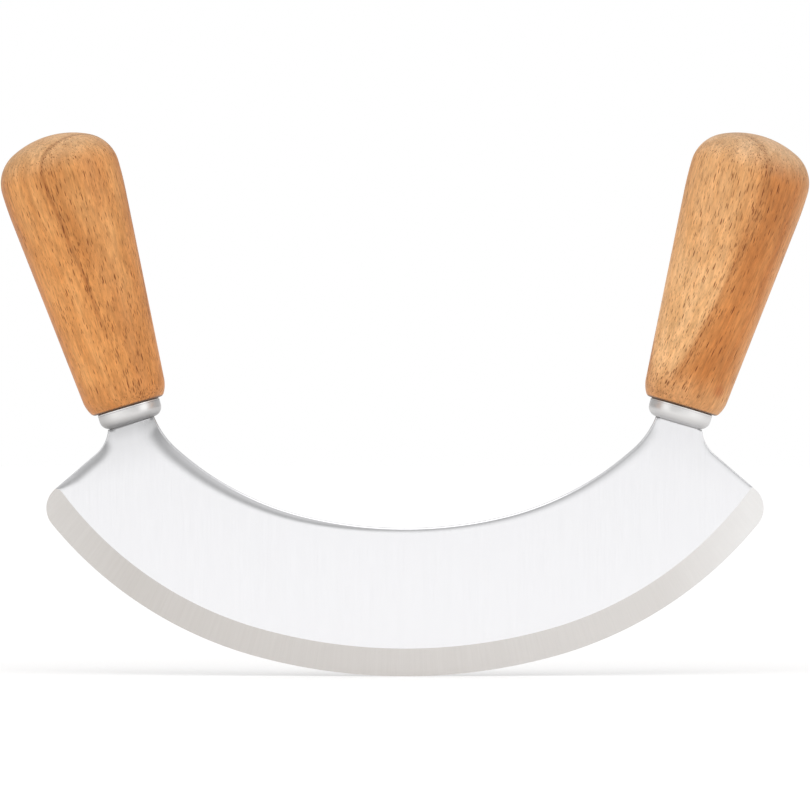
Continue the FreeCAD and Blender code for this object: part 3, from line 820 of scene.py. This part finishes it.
def bevel_colour(level):
    return (*(level * (1 - loss * (1 - level)) for loss in BEVEL_WARMTH), 1.0)


def ferrule_colour(level):
    return (*(level * tint for tint in FERRULE_TINT), 1.0)


def ring_stops(stops, colour):
    # stops of a colour ramp from places across the growth rings
    return [((place + RING_REACH) / (2 * RING_REACH), colour(value)) for place, value in stops]


# Node helpers
def add(tree, kind, inputs=None, **settings):
    node = tree.nodes.new("ShaderNode" + kind)
    for name, value in settings.items():
        setattr(node, name, value)
    for key, value in (inputs or {}).items():
        if isinstance(value, bpy.types.NodeSocket):
            tree.links.new(value, node.inputs[key])
        else:
            node.inputs[key].default_value = value
    return node


def calc(tree, operation, first, second=0.0, third=0.0):
    return add(tree, "Math", {0: first, 1: second, 2: third}, operation=operation).outputs[0]


def product(tree, first, *others):
    for other in others:
        first = calc(tree, "MULTIPLY", first, other)
    return first


def scaled(tree, vector, scale):
    return add(tree, "VectorMath", {0: vector, 1: scale}, operation="MULTIPLY").outputs[0]


def parts(tree, vector):
    return add(tree, "SeparateXYZ", {0: vector}).outputs


def joined(tree, x, y=0.0, z=0.0):
    return add(tree, "CombineXYZ", {0: x, 1: y, 2: z}).outputs[0]


def rise(tree, value, low, high, low_result=0.0, high_result=1.0):
    node = add(
        tree, "MapRange",
        {"Value": value, "From Min": low, "From Max": high, "To Min": low_result, "To Max": high_result},
        interpolation_type="SMOOTHSTEP",
    )
    return node.outputs["Result"]


def span(tree, value, low_result, high_result):
    node = add(tree, "MapRange", {"Value": value, "To Min": low_result, "To Max": high_result})
    return node.outputs["Result"]


def share_between(tree, value, low, high):
    return add(tree, "MapRange", {"Value": value, "From Min": low, "From Max": high}).outputs["Result"]


def mix(tree, share, first, second, blend="MIX"):
    node = add(tree, "Mix", {0: share, 6: first, 7: second}, data_type="RGBA", blend_type=blend)
    return node.outputs[2]


def shaded(tree, share, tone, shade):
    # a tone multiplied by a shade, as far as the share says
    return mix(tree, share, tone, mix(tree, 1.0, tone, shade, "MULTIPLY"))


def mix_levels(tree, share, first, second):
    return add(tree, "Mix", {0: share, 2: first, 3: second}, data_type="FLOAT").outputs[0]


def noise(tree, vector, scale, detail, roughness=0.5):
    node = add(
        tree, "TexNoise", {"Vector": vector, "Scale": scale, "Detail": detail, "Roughness": roughness}
    )
    return node.outputs[0]


def wood_noise(tree, grain, kind):
    stretch, detail, roughness = WOOD_NOISE[kind]
    return noise(tree, scaled(tree, grain, stretch), 1.0, detail, roughness)


def ramp(tree, value, stops):
    node = add(tree, "ValToRGB", {0: value})
    elements = node.color_ramp.elements
    elements[0].position, elements[0].color = stops[0]
    elements[1].position, elements[1].color = stops[-1]
    for position, colour in stops[1:-1]:
        elements.new(position).color = colour
    return node.outputs["Color"]


def new_group(name, inputs, outputs):
    group = bpy.data.node_groups.new(name, "ShaderNodeTree")
    for socket, kind in inputs.items():
        group.interface.new_socket(socket, in_out="INPUT", socket_type="NodeSocket" + kind)
    for socket in outputs:
        group.interface.new_socket(socket, in_out="OUTPUT", socket_type="NodeSocketFloat")
    entry = group.nodes.new("NodeGroupInput").outputs
    leave = group.nodes.new("NodeGroupOutput").inputs
    return group, entry, leave


def use_group(tree, group, inputs):
    return add(tree, "Group", inputs, node_tree=group).outputs


def new_material(name, values):
    material = bpy.data.materials.new(name)
    material.use_nodes = True
    tree = material.node_tree
    shader = tree.nodes["Principled BSDF"]
    for key, value in values.items():
        shader.inputs[key].default_value = value
    return material, tree, shader


def dress(tree, shader, tone, roughness, relief, bump):
    tree.links.new(tone, shader.inputs["Base Color"])
    tree.links.new(roughness, shader.inputs["Roughness"])
    node = add(tree, "Bump", {"Height": relief, **bump})
    tree.links.new(node.outputs[0], shader.inputs["Normal"])


def in_millimetres(tree, source, location, turn):
    # a place measured from a location, turned about Y
    node = add(
        tree, "Mapping",
        {"Vector": source, "Location": location, "Rotation": (0, turn, 0), "Scale": (MM, MM, MM)},
        vector_type="TEXTURE",
    )
    return node.outputs["Vector"]


def object_place(tree, location=(0, 0, 0), turn=0.0):
    return in_millimetres(tree, add(tree, "TexCoord").outputs["Object"], location, turn)


def folded_place(tree):
    # from the seat across and along the handle, alike for both sides
    part = parts(tree, add(tree, "TexCoord").outputs["Object"])
    folded = joined(tree, calc(tree, "ABSOLUTE", part["X"]), part["Y"], part["Z"])
    return in_millimetres(tree, folded, flat(SEAT), LEAN)


def by_side(tree, levels):
    # one level on the left half of the object and another on the right
    hand = parts(tree, object_place(tree))["X"]
    return rise(tree, hand, *LEFT_TO_RIGHT, levels[LEFT], levels[RIGHT])


def mirrored_ray(tree, path):
    return calc(tree, "MAXIMUM", path["Is Glossy Ray"], path["Is Transmission Ray"])


# Shared effects
def make_satin_lines():
    group, entry, leave = new_group(
        "satin_lines", {"Vector": "Vector", "Stretch": "Vector"}, ["Fine", "Broad"]
    )
    drawn = scaled(group, entry["Vector"], entry["Stretch"])
    for name, kind in (("Fine", FINE_LINES), ("Broad", BROAD_LINES)):
        group.links.new(rise(group, noise(group, drawn, *kind), *NOISE_CONTRAST), leave[name])
    return group


def make_wood_rings():
    # ring place in millimetres across the board the handle was turned from, fibres and mottle
    group, entry, leave = new_group(
        "wood_rings",
        {"Grain": "Vector", "Ring Turn": "Float"},
        ["Ring", "Band", "Fibre", "Flake", "Mottle"],
    )
    grain = entry["Grain"]
    turned = add(
        group, "VectorRotate", {"Vector": grain, "Angle": entry["Ring Turn"]}, rotation_type="Z_AXIS"
    ).outputs[0]
    drift = calc(group, "SUBTRACT", wood_noise(group, grain, "drift"), 0.5)
    ring = calc(group, "MULTIPLY_ADD", drift, RING_WARP, parts(group, turned)["X"])
    band = noise(group, joined(group, ring), *YEAR_NOISE)
    group.links.new(ring, leave["Ring"])
    group.links.new(rise(group, band, *NOISE_CONTRAST), leave["Band"])
    group.links.new(wood_noise(group, grain, "fibre"), leave["Fibre"])
    group.links.new(rise(group, wood_noise(group, grain, "flake"), *FLAKE_CONTRAST), leave["Flake"])
    group.links.new(rise(group, wood_noise(group, grain, "mottle"), *NOISE_CONTRAST), leave["Mottle"])
    return group


def make_wood_pores():
    # vessels cut open: dashes along the grain and dots on the end grain
    group, entry, leave = new_group(
        "wood_pores",
        {"Grain": "Vector", "Stretch": "Vector", "Density": "Float", "Reach": "Float"},
        ["Pore"],
    )
    cells = scaled(group, entry["Grain"], entry["Stretch"])
    node = add(group, "TexVoronoi", {"Vector": cells, "Scale": 1.0})
    pick = add(group, "SeparateColor", {0: node.outputs["Color"]}).outputs
    wanted = rise(group, calc(group, "SUBTRACT", entry["Density"], pick[0]), *PORE_CHANCE)
    reach = product(group, entry["Reach"], span(group, pick[1], *PORE_REACHES))
    core = product(group, reach, PORE_CORE)
    dash = rise(group, node.outputs["Distance"], core, reach, 1.0, 0.0)
    dark = span(group, pick[2], *PORE_DEPTHS)
    group.links.new(product(group, dash, wanted, dark), leave["Pore"])
    return group


# Finishes
def make_face_steel(satin_lines):
    material, tree, shader = new_material("satin_blade_steel", METAL)
    lines = use_group(tree, satin_lines, {"Vector": object_place(tree), "Stretch": FACE_STROKES})
    tone = mix(tree, lines["Broad"], *FACE_TONES)
    tone = mix(tree, product(tree, lines["Fine"], FACE_LINE_DEPTH), tone, FACE_LINE)

    # painted shade toward the necks, more so on the left one and beside its spine
    part = parts(tree, folded_place(tree))
    neck = product(tree, rise(tree, part["Z"], *NECK_SHADE_ALONG), by_side(tree, NECK_SHADE_DEPTH))
    spine_shade = product(
        tree, rise(tree, part["X"], *SPINE_SHADE_ACROSS), rise(tree, part["Z"], *SPINE_SHADE_ALONG)
    )
    close = calc(tree, "MULTIPLY_ADD", rise(tree, part["Z"], *NECK_END_SHADE_ALONG), NECK_END_SHADE_DEPTH, spine_shade)
    neck = calc(tree, "MULTIPLY_ADD", close, by_side(tree, {LEFT: 1.0, RIGHT: 0.0}), neck)

    # the painted shade stops short of its upper end, leaving it bright, and a painted shadow darkens the
    # two corners under the ferrule
    under = calc(tree, "SUBTRACT", part["Z"], SEAT_LIFT / MM)
    neck = product(tree, neck, rise(tree, under, *BRIGHT_END_ALONG))
    tone = mix(tree, neck, tone, NECK_SHADE_TONE)
    middle = (NECK_OUTER - NECK_INNER) / 2 / MM
    off_middle = calc(tree, "ABSOLUTE", calc(tree, "SUBTRACT", part["X"], middle))
    corner_shadow = product(tree, rise(tree, under, *CORNER_SHADOW_ALONG), rise(tree, off_middle, *CORNER_SHADOW_ACROSS))
    tone = mix(tree, corner_shadow, tone, CORNER_SHADOW_TONE)

    roughness = calc(tree, "MULTIPLY_ADD", corner_shadow, CORNER_ROUGHNESS, span(tree, lines["Fine"], *FACE_GLOSS))
    dress(tree, shader, tone, roughness, lines["Fine"], FACE_BUMP)
    return material


def make_bevel_steel(satin_lines):
    material, tree, shader = new_material("ground_bevel_steel", METAL)
    part = parts(tree, object_place(tree, flat(EDGE_MIDDLE)))
    angle = calc(tree, "ARCTAN2", part["X"], product(tree, part["Z"], -1.0))
    polar = joined(tree, product(tree, angle, EDGE_MIDDLE_RADIUS / MM), part["Y"], part["Z"])
    lines = use_group(tree, satin_lines, {"Vector": polar, "Stretch": BEVEL_STROKES})
    # painted light: brighter toward the tips
    along = share_between(tree, part["X"], -BEVEL_SPAN, BEVEL_SPAN)
    tone = ramp(tree, along, [(stop, bevel_colour(level)) for stop, level in BEVEL_LIGHT_LEVELS])
    tone = mix(tree, product(tree, lines["Broad"], BEVEL_LINE_DEPTH), tone, BEVEL_PALE)
    tone = mix(tree, product(tree, lines["Fine"], BEVEL_LINE_DEPTH), tone, BEVEL_LINE)
    dress(tree, shader, tone, span(tree, lines["Fine"], *BEVEL_GLOSS), lines["Fine"], BEVEL_BUMP)
    return material


def make_ferrule_steel(satin_lines):
    material, tree, shader = new_material("turned_ferrule_steel", METAL)
    place = folded_place(tree)
    lines = use_group(tree, satin_lines, {"Vector": place, "Stretch": FERRULE_STROKES})
    part = parts(tree, place)
    up = calc(tree, "SUBTRACT", part["Z"], SEAT_LIFT / MM)
    share = calc(tree, "DIVIDE", up, FERRULE_HEIGHT / MM)
    # painted shade at the drawn corner, lighter on the wall, then a fine dark line and a painted highlight
    # on the lip
    tone = ramp(tree, share, [(stop, ferrule_colour(level)) for stop, level in FERRULE_LIGHT_LEVELS])
    tone = mix(tree, product(tree, lines["Broad"], FERRULE_LINE_DEPTH), tone, FERRULE_PALE)
    # painted light: the right one paler all over
    tone = mix(tree, by_side(tree, FERRULE_SIDE_LIGHT), tone, FERRULE_PALE)
    # painted shade on the outer side, more so on the left one
    outer_shade = product(tree, rise(tree, part["X"], *OUTER_SHADE_ACROSS), by_side(tree, OUTER_SHADE_DEPTH))
    tone = shaded(tree, outer_shade, tone, OUTER_SHADE_TONE)
    dress(tree, shader, tone, span(tree, lines["Fine"], *FERRULE_GLOSS), lines["Fine"], FERRULE_BUMP)
    return material


def along_grain(tree, place, slope, bend):
    # the handle's own place, straightened where the grain leans and bends across it
    part = parts(tree, place)
    above = calc(tree, "SUBTRACT", part["Z"], GRAIN_MIDDLE)
    lean = product(tree, above, calc(tree, "MULTIPLY_ADD", above, -bend, slope))
    return joined(tree, calc(tree, "SUBTRACT", part["X"], lean), part["Y"], part["Z"])


def wood_marks(tree, look, tone, figure, place, height):
    # pale dome from end grain and painted light from above, pale foot, one darker growth line that fades
    # toward the foot, and a knot
    tone = mix(tree, rise(tree, height, *END_GRAIN_LIGHT_HEIGHT), tone, srgb(*look["end_grain_light_tone"]))
    if "pale_foot" in look:
        low = rise(tree, height, *PALE_FOOT_HEIGHT)
        pale = product(tree, low, rise(tree, figure["Ring"], *PALE_FOOT_RINGS))
        tone = mix(tree, pale, tone, srgb(*look["pale_foot"]))
    tone = mix(tree, rise(tree, height, *FOOT_TONE_HEIGHT), tone, srgb(*look["foot_tone"]))

    off_line = calc(tree, "ABSOLUTE", calc(tree, "SUBTRACT", figure["Ring"], look["streak"]))
    line = product(
        tree, rise(tree, off_line, *STREAK_ACROSS), rise(tree, height, *look["streak_foot"]),
        span(tree, figure["Flake"], *look["streak_depth"]),
    )
    tone = shaded(tree, line, tone, STREAK_SHADE)

    if "knot" in look:
        away = add(tree, "VectorMath", {0: place, 1: look["knot"]}, operation="DISTANCE").outputs["Value"]
        tone = mix(tree, rise(tree, away, *KNOT_REACH), tone, srgb(*KNOT_TONE))
    return tone, off_line


def wood_figure(tree, tone, figure, height):
    # patches, flakes, fibres and bands, with painted shade under the dome
    shade = rise(tree, height, *UNDER_DOME_SHADE_HEIGHT)
    for name, levels in FIGURE_SHADES.items():
        shade = product(tree, shade, span(tree, figure[name], *levels))
    shades = add(tree, "CombineColor", {0: shade, 1: shade, 2: shade}).outputs[0]
    tone = mix(tree, 1.0, tone, shades, "MULTIPLY")
    warm = mix(tree, 1.0, tone, WARM_SHADE, "MULTIPLY")
    return mix(tree, figure["Mottle"], warm, tone)


def open_pores(tree, wood_pores, grain, density, off_line):
    # vessels cut open, in clusters and larger beside the growth line
    crowd = product(tree, density, rise(tree, wood_noise(tree, grain, "cluster"), *PORE_CROWD))
    band = rise(tree, off_line, *STREAK_PORES)
    pore = 0.0
    for stretch, reach, depth in PORE_KINDS:
        inputs = {"Grain": grain, "Stretch": stretch, "Density": crowd, "Reach": product(tree, band, reach)}
        kind = use_group(tree, wood_pores, inputs)["Pore"]
        pore = calc(tree, "MAXIMUM", product(tree, kind, depth), pore)
    return pore


def make_handle_wood(side, wood_rings, wood_pores):
    look = WOODS[side]
    material, tree, shader = new_material(f"{SIDE_NAMES[side]}_handle_wood", WOOD_SHEEN)
    place = object_place(tree, (SEAT.x * side, 0, SEAT.y), LEAN * side)
    height = parts(tree, place)["Z"]
    grain = along_grain(tree, place, look["grain_slope"], look["grain_bend"])
    figure = use_group(tree, wood_rings, {"Grain": grain, "Ring Turn": look["ring_turn"]})
    share = share_between(tree, figure["Ring"], -RING_REACH, RING_REACH)
    tone = ramp(tree, share, ring_stops(look["rings"], lambda colour: srgb(*colour)))
    density = ramp(tree, share, ring_stops(look["pores"], grey))
    tone, off_line = wood_marks(tree, look, tone, figure, place, height)
    tone = wood_figure(tree, tone, figure, height)
    pore = open_pores(tree, wood_pores, grain, density, off_line)
    tone = shaded(tree, pore, tone, PORE_SHADE)

    # painted shadow: a dark line where the foot meets the ferrule
    foot = [HANDLE_FOOT / MM + above for above in FOOT_SHADOW_RISE]
    tone = mix(tree, rise(tree, height, *foot, FOOT_SHADOW_DEPTH, 0.0), tone, FOOT_SHADOW_TONE)

    roughness = calc(tree, "MULTIPLY_ADD", pore, PORE_ROUGHNESS, span(tree, figure["Fibre"], *WOOD_GLOSS))
    relief = calc(tree, "SUBTRACT", product(tree, figure["Fibre"], FIBRE_RELIEF), pore)
    dress(tree, shader, tone, roughness, relief, WOOD_BUMP)
    return material


def make_resin():
    material, tree, shader = new_material("set_resin", {})
    cloud = noise(tree, object_place(tree), *RESIN_CLOUD)
    tree.links.new(mix(tree, cloud, *RESIN_TONES), shader.inputs["Base Color"])
    tree.links.new(span(tree, cloud, *RESIN_GLOSS), shader.inputs["Roughness"])
    return material


# Studio
def make_pale_floor():
    material, tree, shader = new_material("pale_floor", FLOOR_SHEEN)
    cloud = noise(tree, object_place(tree), *FLOOR_CLOUD)
    tree.links.new(mix(tree, cloud, *FLOOR_TONES), shader.inputs["Base Color"])
    # just enough glow for white, more where the lamps reach less, so that the shadow stays
    away = add(tree, "VectorMath", {0: object_place(tree)}, operation="LENGTH").outputs["Value"]
    lift = span(tree, calc(tree, "DIVIDE", away, FLOOR_GLOW_REACH / MM), *FLOOR_GLOW)
    path = add(tree, "LightPath").outputs
    seen = product(tree, path["Is Camera Ray"], lift)
    glow = calc(tree, "MULTIPLY_ADD", mirrored_ray(tree, path), MIRRORED_GLOW, seen)
    tree.links.new(glow, shader.inputs["Emission Strength"])
    return material


def make_floor():
    bm = bmesh.new()
    bmesh.ops.create_circle(bm, cap_ends=True, segments=FLOOR_SIDES, radius=FLOOR_RADIUS)
    mesh = bpy.data.meshes.new("studio_floor")
    bm.to_mesh(mesh)
    bm.free()
    mesh.materials.append(make_pale_floor())
    floor = bpy.data.objects.new("studio_floor", mesh)
    bpy.context.scene.collection.objects.link(floor)


def make_world():
    # plain fill for the surfaces, white behind the object, and a grey room for what metal mirrors
    world = bpy.data.worlds.new("studio")
    bpy.context.scene.world = world
    world.use_nodes = True
    tree = world.node_tree
    part = parts(tree, add(tree, "TexCoord").outputs["Generated"])
    wall = ramp(tree, part["Z"], [(height, grey(level)) for height, level in ROOM_HEIGHTS])
    side = rise(tree, calc(tree, "ABSOLUTE", part["X"]), *WALL_END)
    room = mix_levels(tree, side, wall, ROOM_GREY)
    path = add(tree, "LightPath").outputs
    strength = mix_levels(tree, mirrored_ray(tree, path), FILL_LIGHT, room)
    strength = mix_levels(tree, path["Is Camera Ray"], strength, 1.0)
    background = tree.nodes["Background"]
    background.inputs["Color"].default_value = WHITE
    tree.links.new(strength, background.inputs["Strength"])


def make_lamp(name, place, size, radiance):
    data = bpy.data.lights.new(name, "AREA")
    data.shape = "RECTANGLE"
    data.size, data.size_y = size
    data.energy = radiance * math.pi * size[0] * size[1]
    lamp = bpy.data.objects.new(name, data)
    lamp.location = place
    target = Vector((0, 0, VIEW_HEIGHT))
    lamp.rotation_euler = (Vector(place) - target).to_track_quat("Z", "Y").to_euler()
    lamp.visible_camera = False
    bpy.context.scene.collection.objects.link(lamp)


def make_camera():
    data = bpy.data.cameras.new("camera")
    data.sensor_width = SENSOR_WIDTH
    data.lens = SENSOR_WIDTH * CAMERA_DISTANCE / FRAME_WIDTH
    camera = bpy.data.objects.new("camera", data)
    camera.location = (0, -CAMERA_DISTANCE, VIEW_HEIGHT)
    camera.rotation_euler = (math.pi / 2, 0, 0)
    bpy.context.scene.collection.objects.link(camera)
    bpy.context.scene.camera = camera


satin = make_satin_lines()
rings_group = make_wood_rings()
pores_group = make_wood_pores()
face_steel = make_face_steel(satin)
bevel_steel = make_bevel_steel(satin)
ferrule_steel = make_ferrule_steel(satin)
resin = make_resin()

blade = build_blade([face_steel, bevel_steel])
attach(blade, "root")
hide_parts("blade")
for side in (LEFT, RIGHT):
    name = SIDE_NAMES[side]
    ferrule = build_ferrule(side, ferrule_steel)
    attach(ferrule, "root")
    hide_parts(f"ferrule_{name}")
    handle = build_handle(side, make_handle_wood(side, rings_group, pores_group))
    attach(handle, "root")
    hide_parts(f"handle_{name}")
    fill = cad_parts[f"tang_adhesive_{name}"]
    fill.data.materials.clear()
    fill.data.materials.append(resin)

make_floor()
make_world()
for name, (place, size, radiance) in LAMPS.items():
    make_lamp(name, place, size, radiance)
make_camera()
bpy.context.scene.view_settings.view_transform = "Standard"
